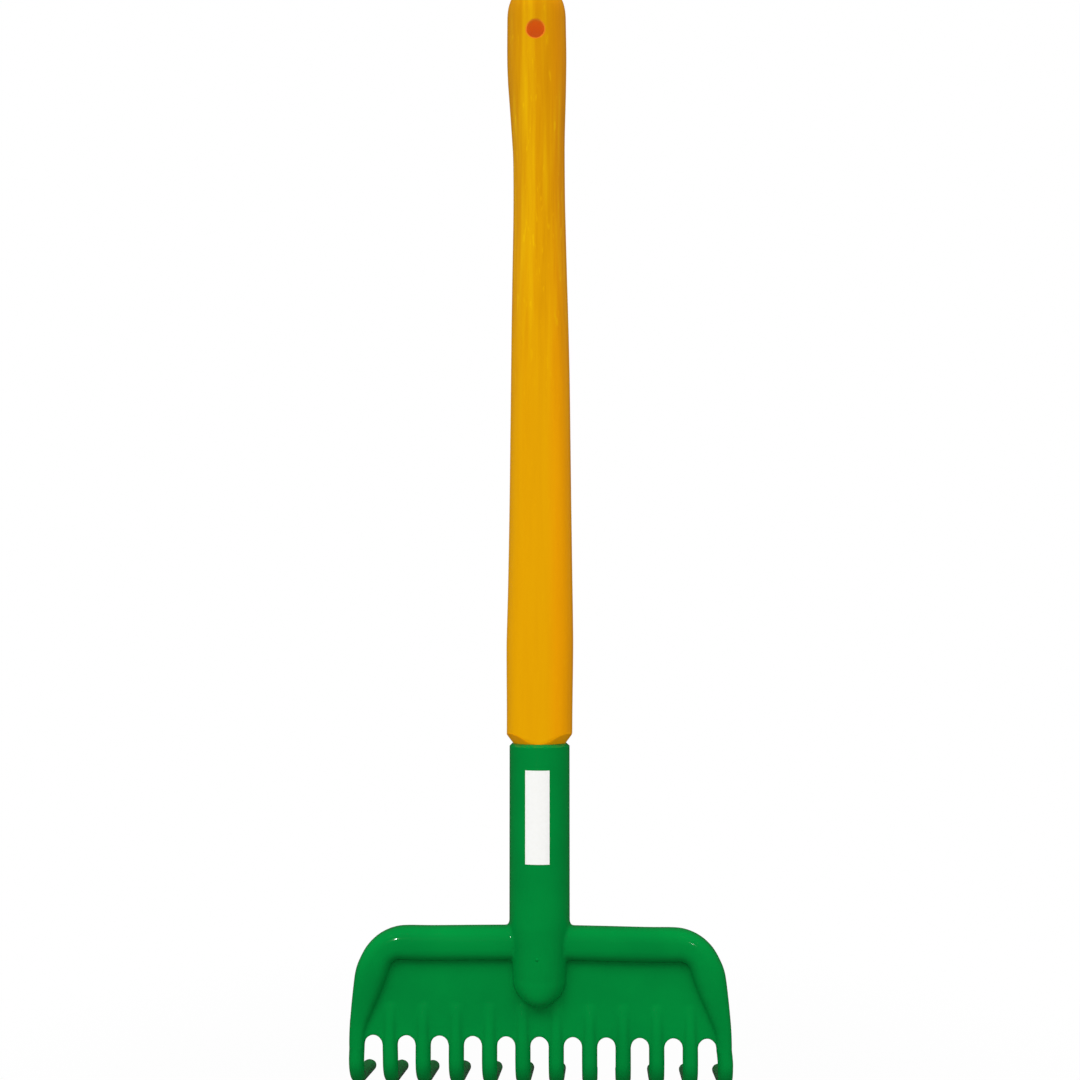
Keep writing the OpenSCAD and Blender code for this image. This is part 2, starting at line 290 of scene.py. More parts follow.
def combine(piece, tool, operation="DIFFERENCE"):
    """Take the tool away from the piece, weld it on with UNION, or keep what both share with INTERSECT."""
    step = piece.modifiers.new("combine", "BOOLEAN")
    step.operation, step.object, step.solver = operation, tool, "MANIFOLD"
    apply_modifiers(piece)
    bpy.data.objects.remove(tool)


print("a turned profile ends", AXIS_R, "mm off its axis")

# %% Drill the hanging hole
HOLE_R, LIP_R, LIP_DEPTH = 3.95, 0.6, 0.78
FLARE, OVERRUN = 0.6, 2.0  # how far the drill widens past the lip, and goes on past the face
lip = [(HOLE_R + LIP_R * (1 - math.cos(a)), STICK_DEPTH / 2 - LIP_DEPTH + LIP_R * math.sin(a))
       for a in np.linspace(0, math.pi / 2, 7)]
half_drill = lip + [(HOLE_R + LIP_R + FLARE, STICK_DEPTH / 2 + OVERRUN)]
drill_profile = [(r, -z) for r, z in half_drill[::-1]] + half_drill
drill = make_object("drill", [loft(turned(drill_profile, 48, lambda x, y, z: (x, z, -y)))])
combine(stick, drill)
print("stick after drilling:", len(stick.data.polygons), "faces")

# %% [markdown]
# ## The rake head: parts of one moulding
# A mould for this head is cut from simple tools: a tube with a round bottom, a bar bent round the top and
# down both sides, a flat plate, and twelve tines that leave the plate as ribs, come down, bend back and
# taper to round tips. Each is drawn here as its own closed skin. The next step melts them into one.

# %% Turn the socket and the boss
BORE_R, SOCKET_R, BOSS_R = 11.3, 13.5, 12.1
TAPER_Z, BOSS_END_Z, BORE_END_Z = -411.7, -426.7, -412.0
TAPER_LEAD, TAPER_IN = 8.0, 0.45  # the taper starts softly above TAPER_Z, and is this far in there
END_POWER = 3.5  # how squarely the end turns in, seen from the side

socket_profile = [(AXIS_R, BORE_END_Z), (BORE_R, BORE_END_Z), (BORE_R, MOUTH_Z), (SOCKET_R, MOUTH_Z),
                  (SOCKET_R, TAPER_Z + TAPER_LEAD), (SOCKET_R - TAPER_IN, TAPER_Z), (BOSS_R, BOSS_END_Z)]
socket_profile += [(BOSS_R * math.cos(a) + AXIS_R, BOSS_END_Z - BOSS_R * math.sin(a))
                   for a in np.linspace(0.1, math.pi / 2, 14)]


def end_depth(z):
    """How much deeper than wide the end of the boss is: its front stays flat and then turns in tightly."""
    down = min(0.999, max(0.0, (BOSS_END_Z - z) / BOSS_R))
    return (1 - down ** END_POWER) ** (1 / END_POWER) / math.sqrt(1 - down ** 2)


socket_shell = loft(turned(socket_profile, 72, lambda x, y, z: (x + SHAFT_X, y * end_depth(z), z)))
print("boss reaches down to z =", round(socket_profile[-1][1], 1), "mm")


# %% [markdown]
# ## The rim
# The top bar is 15 mm high and falls by a millimetre from the middle to each side. It turns a wide corner,
# a little slimmer there, and thins down to the first and last tine. The section is 14.2 mm deep, and its
# front and back are slightly flattened: that keeps the face of the bar evenly lit, with a narrow dark line
# at the plate.


# %% Define oval, directions and sweep_face
RIM_STEPS, RIM_POWER = 28, 2.7  # points round the rim, and how flattened its faces are: 2 is an ellipse


def oval(centre, across, deep, steps, power=2.0):
    """A ring round a centre, spanned by two half-axes. Power 2 is an ellipse, and more is squarer."""
    centre, across, deep = Vector(centre), Vector(across), Vector(deep)
    turns = np.arange(steps) * 2 * math.pi / steps
    c = np.sign(np.cos(turns)) * np.abs(np.cos(turns)) ** (2 / power)
    s = np.sign(np.sin(turns)) * np.abs(np.sin(turns)) ** (2 / power)
    return [tuple(centre + across * a + deep * b) for a, b in zip(c, s)]


def directions(path):
    """Unit vectors along a path, from the first two numbers of each row."""
    along = np.gradient(path[:, :2], axis=0)
    return along / np.linalg.norm(along, axis=1)[:, None]


def sweep_face(stations, steps=6):
    """A bar in the plane of the face: each station is X, Z, half width across the face, and half depth."""
    path = spline(stations, steps)
    return [oval((x, 0, z), (-dz * w, 0, dx * w), (0, d, 0), RIM_STEPS, RIM_POWER)
            for (x, z, w, d), (dx, dz) in zip(path, directions(path))]


print("points round the rim:", RIM_STEPS)

# %% Sweep the rim
RIM_TOP_Z, RIM_HALF_H, RIM_HALF_D, RIM_FALL = -403.7, 7.5, 7.1, 0.9
CORNER_R, CORNER_X, CORNER_DROP = 22.2, 59.6, 22.0
SIDE_X, SIDE_Z = 75.2, -425.4  # where the corner has run out into the side bar
TINE_COUNT, TINE_PITCH, TINE_R, GAP_TOP_Z = 12, 14.85, 3.45, -452.6
LAST_TINE_X = (TINE_COUNT - 1) / 2 * TINE_PITCH
gap_r = TINE_PITCH / 2 - TINE_R
GAP_Z = GAP_TOP_Z - gap_r  # the middle of the round top of each gap
RIM_Z = RIM_TOP_Z - RIM_HALF_H  # the middle of the bar at the stick
corner_z = RIM_TOP_Z - RIM_FALL - CORNER_DROP
rim_stations = [(x, RIM_Z - fall, RIM_HALF_H, RIM_HALF_D)
                for x, fall in ((11.7, 0.15), (30, 0.4), (48, 0.7))]
for turn, half in ((90, 7.4), (74, 7.1), (58, 6.9), (42, 6.9), (26, 7.1)):
    a = math.radians(turn)
    rim_stations.append((CORNER_X + (CORNER_R - half) * math.cos(a),
                         corner_z + (CORNER_R - half) * math.sin(a), half, RIM_HALF_D))
rim_stations += [(SIDE_X, SIDE_Z, 7.3, 6.8), (77.2, -433.0, 6.4, 6.1), (79.3, -441.0, 5.1, 5.1),
                 (81.1, -449.0, 3.9, 4.1), (LAST_TINE_X + 0.05, -456.0, 3.45, 3.5),
                 (LAST_TINE_X, -458.5, 3.4, 3.4)]
rim_shells = []
for side in (-1, 1):
    rim_shells.append(loft([[(SHAFT_X + side * x, y, z) for x, y, z in ring]
                            for ring in sweep_face(rim_stations)]))
print("rim sections on each side:", len(rim_shells[0][0]) // RIM_STEPS)

# %% [markdown]
# ## The plate
# The plate is 3.2 mm thick and stands in the middle of the rim's depth. Its lower edge is a row of round-
# topped gaps, one between each two tines. It is one outline with arcs in it, given a thickness.

# %% Cut out the plate
PLATE_T = 3.2
NOTCH_X, NOTCH_Z = 12.6, -414.0  # the plate leaves the bore of the socket free
INSET_X, INSET_Z = CORNER_X + 10.5, corner_z + 11.0  # a point inside the rim's corner
outline = [(-CORNER_X, RIM_Z - RIM_FALL), (-NOTCH_X, RIM_Z), (-NOTCH_X, NOTCH_Z), (NOTCH_X, NOTCH_Z),
           (NOTCH_X, RIM_Z), (CORNER_X, RIM_Z - RIM_FALL), (INSET_X, INSET_Z), (SIDE_X, SIDE_Z),
           (LAST_TINE_X, GAP_Z)]
for i in range(TINE_COUNT - 1):
    middle = LAST_TINE_X - (i + 0.5) * TINE_PITCH
    outline += [(middle + gap_r * math.cos(a), GAP_Z + gap_r * math.sin(a))
                for a in np.linspace(0, math.pi, 17)]
outline += [(-LAST_TINE_X, GAP_Z), (-SIDE_X, SIDE_Z), (-INSET_X, INSET_Z)]
plate_shell = loft([[(SHAFT_X + x, y, z) for x, z in outline] for y in (-PLATE_T / 2, PLATE_T / 2)])
print("points round the plate:", len(outline))


# %% [markdown]
# ## The tines
# Every inner tine starts as a low rib on the plate, almost as wide as the tine and at first hardly raised.
# It comes down past the gap, bends back by 82 degrees round a radius of 10 mm, and runs 33 mm to a round
# tip. It keeps its width and gets flatter towards the tip, as a tine does that has to slide out of its
# mould. The outermost tines of the real rake have spread a little in use, the one on the right most.


# %% Write down the stations of a tine
BEND_R, BEND_Z, BEND_ANGLE = 10.0, -463.2, 82
ARM_LENGTH, TIP_LENGTH, TIP_HALF_W, TIP_HALF_T = 33.0, 4.0, 3.4, 2.75
# Y, Z, half width in X, and half thickness, in mm: the rib first
RIB = [(0, -437.6, 6.0, 1.55), (0, -439, 5.0, 1.9), (0, -441, 4.2, 2.2), (0, -445, 3.5, 2.7),
       (0, -450, 3.35, 3.15), (0, -454, 3.4, 3.38)]
tine = [(0, GAP_Z - 0.5, TINE_R, TINE_R), (0, BEND_Z + 2, TINE_R, TINE_R)]
for a in np.radians(np.linspace(0, BEND_ANGLE, 13)):
    tine.append((BEND_R - BEND_R * math.cos(a), BEND_Z - BEND_R * math.sin(a), TINE_R, TINE_R))
(arm_y, arm_z), arm_turn = tine[-1][:2], math.radians(BEND_ANGLE)
straight = ARM_LENGTH - TIP_LENGTH
runs = [(share * straight, TINE_R + (TIP_HALF_W - TINE_R) * share, TINE_R + (TIP_HALF_T - TINE_R) * share)
        for share in (0.2, 0.4, 0.6, 0.8, 1.0)]
for b in np.radians(np.linspace(12, 88, 7)):  # the round tip
    runs.append((straight + TIP_LENGTH * math.sin(b), TIP_HALF_W * math.cos(b), TIP_HALF_T * math.cos(b)))
tine += [(arm_y + run * math.sin(arm_turn), arm_z - run * math.cos(arm_turn), w, thick)
         for run, w, thick in runs]
print("stations of a tine:", len(RIB) + len(tine))


# %% Sweep the tines
def sweep_back(stations):
    """A bar in the plane that points back: each station is Y, Z, half width in X, and half thickness."""
    path = np.array(stations, float)
    return [oval((0, y, z), (w, 0, 0), (0, -dz * thick, dy * thick), 24)
            for (y, z, w, thick), (dy, dz) in zip(path, directions(path))]


SPREAD = {0: -0.2, 1: 0.2, 11: 0.6}  # mm outwards at the bend
tine_shells = []
for i in range(TINE_COUNT):
    x = SHAFT_X - LAST_TINE_X + i * TINE_PITCH
    rib = RIB if 0 < i < TINE_COUNT - 1 else []
    spread = SPREAD.get(i, 0.0)
    tine_shells.append(loft([[(x + px + spread * float(np.interp(z, (BEND_Z, GAP_Z), (1.0, 0.0))), y, z)
                              for px, y, z in ring] for ring in sweep_back(rib + tine)]))
print("a tine reaches back to Y =", round(max(p[1] for p in tine_shells[0][0]), 1), "mm")

# %% [markdown]
# ## Melting the parts into one moulding
# Plastic that flows into a mould leaves no seam where a rib meets a plate. The Remesh modifier gives that:
# it wraps one even skin of small squares round everything that overlaps. The squares are 0.7 mm wide, less
# than a quarter of the plate's thickness, so that the gaps between the tines stay crisp.

# %% Remesh the head
VOXEL = 0.7
head = make_object("head", [socket_shell, plate_shell] + rim_shells + tine_shells)
skin = head.modifiers.new("melt", "REMESH")
skin.mode, skin.voxel_size, skin.adaptivity = "VOXEL", VOXEL * MM, 0.0
apply_modifiers(head)
print("head after the remesh:", len(head.data.polygons), "faces")

# %% [markdown]
# ## Fillets in the inner corners
# No moulded part has a sharp inner corner: the mould maker rounds each one, by 1 to 2 mm here. On an even
# skin this is simple. A point in a corner lies deeper than the mean of its neighbours. Lifting only such
# points, and only while the corner is tighter than the wanted radius, lets a fillet grow. A few smoothing
# steps then take the last traces of the squares away, without shrinking the whole.


# %% Read the skin, and define its normals and neighbours
SHORTEST = 1e-12  # keeps a normal of no length from dividing by zero


def point_normals(points, corners):
    """Normals of a mesh of squares, from the diagonals of its faces."""
    a, b, c, d = (points[corners[:, k]] for k in range(4))
    across = np.cross(c - a, d - b)
    normals = [np.bincount(corners.ravel(), np.repeat(across[:, k], 4), len(points)) for k in range(3)]
    normals = np.stack(normals, 1)
    return normals / np.maximum(np.linalg.norm(normals, axis=1), SHORTEST)[:, None]


def mean_of_neighbours(points, edges, valence):
    """The mean of the points that share an edge with each point."""
    total = [np.bincount(edges[:, 0], points[edges[:, 1], k], len(points))
             + np.bincount(edges[:, 1], points[edges[:, 0], k], len(points)) for k in range(3)]
    return np.stack(total, 1) / valence[:, None]


mesh = head.data
points = np.empty(len(mesh.vertices) * 3)
mesh.vertices.foreach_get("co", points)
points = points.reshape(-1, 3)
edges = np.empty(len(mesh.edges) * 2, int)
mesh.edges.foreach_get("vertices", edges)
edges = edges.reshape(-1, 2)
valence = np.bincount(edges.ravel(), minlength=len(points)).astype(float)
corners = np.array([tuple(face.vertices) for face in mesh.polygons if len(face.vertices) == 4])
print("squares in the skin:", len(corners), "of", len(mesh.polygons), "faces")

# %% Grow the fillets
# The fillet is wide where the socket meets the top of the rim, and small everywhere else. The values bound
# the mean curvature. The rim is round and curves the other way across it, so the wide fillet ends a little
# over 2 mm in radius.
WIDE_FILLET, SMALL_FILLET = 7.0 * MM, 0.7 * MM
SMALL_BELOW, WIDE_ABOVE = -408.0 * MM, -405.0 * MM
FILLET_STEPS, LIFT_SHARE = 120, 0.9
SMOOTH_IN, SMOOTH_OUT, SMOOTH_ROUNDS = 0.5, -0.52, 5

radius = np.interp(points[:, 2], (SMALL_BELOW, WIDE_ABOVE), (SMALL_FILLET, WIDE_FILLET))
least = (VOXEL * MM) ** 2 / (4 * radius)  # how deep a point of a fillet of that radius lies
for step in range(FILLET_STEPS):
    offset = mean_of_neighbours(points, edges, valence) - points
    normals = point_normals(points, corners)
    depth = np.sum(offset * normals, 1)
    lift = np.maximum(0, depth - least)
    points += normals * (LIFT_SHARE * lift)[:, None]
for weight in (SMOOTH_IN, SMOOTH_OUT) * SMOOTH_ROUNDS:  # Taubin's smoothing: one step in, one step out
    points += weight * (mean_of_neighbours(points, edges, valence) - points)
mesh.vertices.foreach_set("co", points.ravel())
mesh.update()
print("fillets grown on", len(points), "points")

# %% [markdown]
# ## The seat of the screw
# Three places of the head stay crisp, so they are made after the melting. The first is at the back of the
# socket: a flat seat is sunk for the screw's head, with a hole for its shank below it. One turned form
# takes both away.

# %% Sink the seat of the screw
SCREW_DOWN, SEAT_Y = 17, 12.9  # mm below the mouth, and behind the middle
SHANK_HOLE_R, SEAT_R = 1.85, 3.6
DRILL_START_Y, DRILL_END_Y = 4.0, 18.0  # inside the bore, and behind the head
SCREW_Z = MOUTH_Z - SCREW_DOWN
screw_hole = [(AXIS_R, DRILL_START_Y), (SHANK_HOLE_R, DRILL_START_Y), (SHANK_HOLE_R, SEAT_Y),
              (SEAT_R, SEAT_Y), (SEAT_R, DRILL_END_Y), (AXIS_R, DRILL_END_Y)]
drill_rings = turned(screw_hole, 48, lambda x, y, z: (SHAFT_X + x, z, SCREW_Z - y))
combine(head, make_object("screw_drill", [loft(drill_rings)]))
print("head after drilling:", len(head.data.polygons), "faces")

# %% [markdown]
# ## The chamfer
# The mouth of the socket has a straight chamfer, which catches the light as one bright band. Everything
# outside a turned form with that slope is taken off.

# %% Cut the chamfer
CHAMFER_W, CHAMFER_H, PAST = 1.45, 1.3, 0.3  # PAST is how far the form goes on at both ends of the slope
HEAD_ROOM = [(AXIS_R, -600), (200, -600), (200, -395), (20, -350)]  # wide of all the rest of the head
slope = CHAMFER_W / CHAMFER_H
low, high = MOUTH_Z - CHAMFER_H - PAST, MOUTH_Z + PAST
keep = HEAD_ROOM + [(20, low), (SOCKET_R + PAST * slope, low),
                    (SOCKET_R - CHAMFER_W - PAST * slope, high), (AXIS_R, high)]
keep_rings = turned(keep, 96, lambda x, y, z: (SHAFT_X + x, y, z))
combine(head, make_object("chamfer", [loft(keep_rings)]), "INTERSECT")
print("head after the chamfer:", len(head.data.polygons), "faces")

# %% [markdown]
# ## The gate mark
# On the front of the boss a tiny pip is left, where the plastic was injected and the sprue was twisted off.
# It is a small turned form, welded on.

# %% Leave the gate mark
GATE_X, GATE_Z, GATE_ROOT_R = 0.8, -416.2, 12.65  # its foot lies 0.1 mm inside the boss
pip = [(AXIS_R, -1.0), (0.75, -1.0), (0.75, 0.1), (0.6, 0.3), (0.3, 0.42), (AXIS_R, 0.45)]
foot_y = -math.sqrt(GATE_ROOT_R ** 2 - (GATE_X - SHAFT_X) ** 2)
pip_rings = turned(pip, 16, lambda x, y, z: (GATE_X + x, foot_y - z, GATE_Z + y))
combine(head, make_object("gate_mark", [loft(pip_rings)]), "UNION")
print("head with the gate mark:", len(head.data.polygons), "faces")

# %% [markdown]
# ## The screw
# A pan-head wood screw with a cross recess, zinc plated. The head is a low dome with a rounded edge, turned
# in one piece with the shank. The cross is pressed in with sloping walls, so a tapered cross is cut out.

# %% Turn the screw
HEAD_R, HEAD_H, SHANK_R, SCREW_LENGTH, POINT_H, POINT_R = 3.5, 2.2, 1.75, 16.0, 4.0, 0.02
EDGE_CUT, WALL_H = 0.15, 0.75  # the cut under the head's edge, and the height where the dome starts
DOME_W, DOME_H, FLAT_R, FLAT_FALL = 1.1, 1.15, 1.6, 0.08
pan = [(POINT_R, -SCREW_LENGTH), (SHANK_R, -SCREW_LENGTH + POINT_H), (SHANK_R, 0.0),
       (HEAD_R - EDGE_CUT, 0.0), (HEAD_R, EDGE_CUT), (HEAD_R, WALL_H)]
pan += [(HEAD_R - DOME_W + DOME_W * math.cos(a), WALL_H + DOME_H * math.sin(a))
        for a in np.linspace(0.2, 1.25, 6)]
pan += [(FLAT_R, HEAD_H - FLAT_FALL), (POINT_R, HEAD_H)]


def at_screw(x, y, z):
    """From the screw's own frame, with Z out of the socket's back, to the rake's."""
    return (SHAFT_X + x, SEAT_Y + z, SCREW_Z - y)


screw = make_object("screw", [loft(turned(pan, 40, at_screw))])
print("the screw's head stands", HEAD_H, "mm out of its seat")

# %% Press the cross into its head
CROSS_L, CROSS_W = 1.9, 0.45  # half the length and half the width of an arm
PRESS_FOOT, PRESS_DOWN, PRESS_UP = 0.55, 1.3, 0.3  # share of the size at the foot, and mm down and up
cross = [(CROSS_W, CROSS_L), (-CROSS_W, CROSS_L), (-CROSS_W, CROSS_W)]
for quarter in range(3):
    cross += [(-y, x) for x, y in cross[-3:]]
press = [[at_screw(x * share, y * share, z) for x, y in cross]
         for share, z in ((PRESS_FOOT, HEAD_H - PRESS_DOWN), (1.0, HEAD_H + PRESS_UP))]
combine(screw, make_object("cross_press", [loft(press)]))
print("screw:", len(screw.data.polygons), "faces")

# %% [markdown]
# ## The label
# A strip of white film, 10.9 by 41 mm, lies round the front of the socket, a little left of the middle. It
# stays bare. It is two curved layers, 0.2 mm apart, closed along the edges.

# %% Bend the label round the socket
LABEL_W, LABEL_H, LABEL_T = 10.9, 41.0, 0.2
LABEL_TURN, LABEL_DOWN = 2.0, 11.2  # degrees to the left, and mm below the mouth
half_angle = LABEL_W / SOCKET_R / 2
front = -math.pi / 2 - math.radians(LABEL_TURN)
arc = np.linspace(front - half_angle, front + half_angle, 17)
edge = [(SOCKET_R + LABEL_T, a) for a in arc] + [(SOCKET_R, a) for a in arc[::-1]]
label_rings = [[(SHAFT_X + r * math.cos(a), r * math.sin(a), z) for r, a in edge]
               for z in np.linspace(MOUTH_Z - LABEL_DOWN - LABEL_H, MOUTH_Z - LABEL_DOWN, 12)]
label = make_object("label_film", [loft(label_rings)])


# %% [markdown]
# ## Colours and nodes
# Colours are picked as sRGB hex values, the way a paint chart or a picture editor gives them. Cycles works
# with linear light, so one function turns them. Another small one adds a node with its settings and its
# links, which keeps the materials below short.


# %% Define linear, add_node and new_material
def linear(code):
    """An sRGB hex value as linear RGBA."""
    parts = [int(code[k:k + 2], 16) / 255 for k in (1, 3, 5)]
    return tuple(c / 12.92 if c <= 0.04045 else ((c + 0.055) / 1.055) ** 2.4 for c in parts) + (1.0,)


def add_node(tree, kind, properties=(), values=(), links=()):
    """One node with its properties, the values typed into its sockets, and the sockets linked into it."""
    node = tree.nodes.new(kind)
    for name, value in dict(properties).items():
        setattr(node, name, value)
    for name, value in dict(values).items():
        node.inputs[name].default_value = value
    for name, source in dict(links).items():
        tree.links.new(source, node.inputs[name])
    return node


def new_material(name):
    """An empty node material, and its tree."""
    material = bpy.data.materials.new(name)
    material.use_nodes = True
    material.node_tree.nodes.clear()
    return material, material.node_tree


print("linear of #808080:", [round(c, 3) for c in linear("#808080")])

# %% [markdown]
# ## Lacquered beech: grain and flecks
# Beech is a pale wood with fine grain along the stick. It is sanded and dipped in a yellow lacquer with a
# satin gloss. The lacquer soaks in unevenly, and streaks and small flecks show through. They are noise,
# stretched along the stick. Real ones are about 0.4 mm wide. They are drawn 1 mm wide, so that they show.

# %% Material: lacquered beech, grain and flecks
beech, tree = new_material("lacquered_beech")
place = add_node(tree, "ShaderNodeTexCoord").outputs["Object"]
spot = add_node(tree, "ShaderNodeSeparateXYZ", links={"Vector": place})
grain = []
# Width and length in mm, and the detail of the noise, for the streaks and then for the flecks
for width, length, detail in ((1.1, 24.0, 3.0), (0.8, 4.0, 1.0)):
    space = add_node(tree, "ShaderNodeMapping", values={"Scale": (1.0, 1.0, width / length)},
                     links={"Vector": place})
    noise = add_node(tree, "ShaderNodeTexNoise", values={"Scale": 0.5 / (width * MM), "Detail": detail},
                     links={"Vector": space.outputs["Vector"]})
    grain.append(noise.outputs["Fac"])
streaks, flecks = grain
print("kinds of grain:", len(grain))

# %% [markdown]
# ## Lacquered beech: figure, painted highlight and painted shade
# Round the waist the shaping cut across the fibres, and there the streaks and flecks show most. They fade in
# from below, and out a little towards the grip. A pale band, a painted highlight, runs down a little left of
# the middle, from the top to nearly half way. Along the right side the lacquer is painted a little redder:
# painted shade. Each of these is a smooth fade along the stick or across it, or a product of such fades.

# %% Material: lacquered beech, figure, painted highlight and painted shade
SMOOTH, TIMES = {"interpolation_type": "SMOOTHSTEP"}, {"operation": "MULTIPLY"}
TIMES_PLUS = {"operation": "MULTIPLY_ADD"}
# Each fade has an axis, a start and an end in mm, and a value at each
# The last fade is painted shade: a redder tint along the right side of the stick
FADES = {"figure_in": ("Z", -200, -90, 0.15, 1.0), "figure_out": ("Z", -45, -10, 1.0, 0.6),
         "highlight_left": ("X", -7.5, -5.0, 0.0, 0.4), "highlight_right": ("X", -2.5, 0.5, 1.0, 0.0),
         "highlight_in": ("Z", -150, -100, 0.0, 1.0), "painted_shade_right": ("X", 4, 11, 0.0, 0.4)}
fade = {}
for name, (axis, start, end, low, high) in FADES.items():
    node = add_node(tree, "ShaderNodeMapRange", SMOOTH,
                    {"From Min": start * MM, "From Max": end * MM, "To Min": low, "To Max": high},
                    {"Value": spot.outputs[axis]})
    fade[name] = node.outputs["Result"]
figure = add_node(tree, "ShaderNodeMath", TIMES, links={0: fade["figure_in"], 1: fade["figure_out"]})
# The band is a painted highlight: a paler stripe down the stick, a little left of the middle
band = add_node(tree, "ShaderNodeMath", TIMES, links={0: fade["highlight_left"], 1: fade["highlight_right"]})
paler = add_node(tree, "ShaderNodeMath", TIMES, links={0: band.outputs["Value"], 1: fade["highlight_in"]})

# Above zero the wood is paler than its ground colour, below zero deeper. The sum starts from the painted
# highlight band, and the streaks and flecks are added to it.
for source, start, end, low, high in ((streaks, 0.3, 0.7, -0.45, 0.45), (flecks, 0.66, 0.74, 0.0, 0.5)):
    amount = add_node(tree, "ShaderNodeMapRange",
                      values={"From Min": start, "From Max": end, "To Min": low, "To Max": high},
                      links={"Value": source})
    paler = add_node(tree, "ShaderNodeMath", TIMES_PLUS,
                     links={0: amount.outputs["Result"], 1: figure.outputs["Value"],
                            2: paler.outputs["Value"]})
deeper = add_node(tree, "ShaderNodeMath", TIMES, {1: -1.0}, {0: paler.outputs["Value"]})
print("beech nodes so far:", len(tree.nodes))

# %% [markdown]
# ## Lacquered beech: bevel and bore
# The turned bevel faces down and gets little light, so its colour is painted paler: painted light that lifts
# its shade. The bore is painted orange-red and glows a little: painted light that stands in for the light
# bouncing round inside the hole. There every point lies within 4.6 mm of the hole's axis. The bevel is found
# as it was cut: on its cone, the distance from the shaft's axis less the slope times the height has one
# value.

# %% Material: lacquered beech, bevel and bore
# Where painted light goes: the glow in the bore, and the paler paint on the bevel
BORE_GLOW_MASK = {"From Min": 4.2 * MM, "From Max": 4.8 * MM, "To Min": 1.0, "To Max": 0.0}
cone_value = NECK_R - BEVEL_SLOPE * MOUTH_Z
BEVEL_PAINT_MASK = {"From Min": (cone_value - 0.4) * MM, "From Max": (cone_value - 0.15) * MM}

across_hole = add_node(tree, "ShaderNodeVectorMath", TIMES, {1: (1.0, 0.0, 1.0)}, {0: place})
off_hole = add_node(tree, "ShaderNodeVectorMath", {"operation": "LENGTH"},
                    links={0: across_hole.outputs["Vector"]})
in_bore = add_node(tree, "ShaderNodeMapRange", values=BORE_GLOW_MASK, links={"Value": off_hole.outputs["Value"]})
across_shaft = add_node(tree, "ShaderNodeVectorMath", TIMES_PLUS,
                        {1: (1.0, 1.0, 0.0), 2: (-SHAFT_X * MM, 0.0, 0.0)}, {0: place})
off_shaft = add_node(tree, "ShaderNodeVectorMath", {"operation": "LENGTH"},
                     links={0: across_shaft.outputs["Vector"]})
past_cone = add_node(tree, "ShaderNodeMath", TIMES_PLUS, {1: -BEVEL_SLOPE},
                     {0: spot.outputs["Z"], 2: off_shaft.outputs["Value"]})
on_bevel = add_node(tree, "ShaderNodeMapRange", values=BEVEL_PAINT_MASK,
                    links={"Value": past_cone.outputs["Value"]})
print("value of the cone:", round(cone_value, 1), "mm")

# %% [markdown]
# ## Lacquered beech: colour and gloss
# The grip is a shade deeper than the lower shaft. Over this ground lie, one after the other, the painted
# shade of the right side, the grain with the painted highlight band, the paler paint of the bevel and the
# painted orange of the bore. The gloss is satin and follows the flecks, and the grain gives a relief of a few
# hundredths of a millimetre.

# %% Material: lacquered beech, colour and gloss
# The pale colour serves both the grain and the painted highlight band. The side colour is painted shade, the
# bevel colour painted light, and the bore colour with its glow is painted light too.
LACQUER_GRIP, LACQUER_WAIST, LACQUER_SHAFT = "#D89300", "#E29F00", "#E6A300"
LACQUER_DEEP, LACQUER_PALE_AND_HIGHLIGHT, LACQUER_PAINTED_SHADE = "#C98000", "#F0BA02", "#F29000"
BEVEL_PAINTED_LIGHT, BORE_PAINTED_LIGHT, PAINTED_BORE_GLOW = "#FFAC00", "#D0701C", 0.36
GLOSS = {"From Min": 0.3, "From Max": 0.7, "To Min": 0.38, "To Max": 0.48}
BELOW, ABOVE, MIXED = 6, 7, 2  # colour sockets of a Mix node, which share their names with others

down_shaft = add_node(tree, "ShaderNodeMapRange", values={"From Min": -200 * MM, "From Max": 0.0},
                      links={"Value": spot.outputs["Z"]})
ground = add_node(tree, "ShaderNodeValToRGB", links={"Fac": down_shaft.outputs["Result"]})
ground.color_ramp.elements.new(0.5)
for stop, position, code in zip(ground.color_ramp.elements, (0.0, 0.5, 1.0),
                                (LACQUER_SHAFT, LACQUER_WAIST, LACQUER_GRIP)):
    stop.position, stop.color = position, linear(code)
colour = ground.outputs["Color"]
for factor, code in ((fade["painted_shade_right"], LACQUER_PAINTED_SHADE), (paler.outputs["Value"], LACQUER_PALE_AND_HIGHLIGHT),
                     (deeper.outputs["Value"], LACQUER_DEEP), (on_bevel.outputs["Result"], BEVEL_PAINTED_LIGHT),
                     (in_bore.outputs["Result"], BORE_PAINTED_LIGHT)):
    layer = add_node(tree, "ShaderNodeMix", {"data_type": "RGBA"}, {ABOVE: linear(code)},
                     {0: factor, BELOW: colour})
    colour = layer.outputs[MIXED]
gloss = add_node(tree, "ShaderNodeMapRange", values=GLOSS, links={"Value": flecks})
# Painted glow: the bore gives off light of its own, standing in for light bouncing round inside the hole
painted_glow = add_node(tree, "ShaderNodeMath", TIMES, {1: PAINTED_BORE_GLOW}, {0: in_bore.outputs["Result"]})
relief = add_node(tree, "ShaderNodeBump", values={"Strength": 0.15, "Distance": 0.05 * MM},
                  links={"Height": streaks})
shader = add_node(tree, "ShaderNodeBsdfPrincipled",
                  values={"IOR": 1.5, "Specular IOR Level": 0.04, "Emission Color": linear(BORE_PAINTED_LIGHT)},
                  links={"Base Color": colour, "Roughness": gloss.outputs["Result"],
                         "Normal": relief.outputs["Normal"], "Emission Strength": painted_glow.outputs["Value"]})
add_node(tree, "ShaderNodeOutputMaterial", links={"Surface": shader.outputs["BSDF"]})
print("beech nodes:", len(tree.nodes))

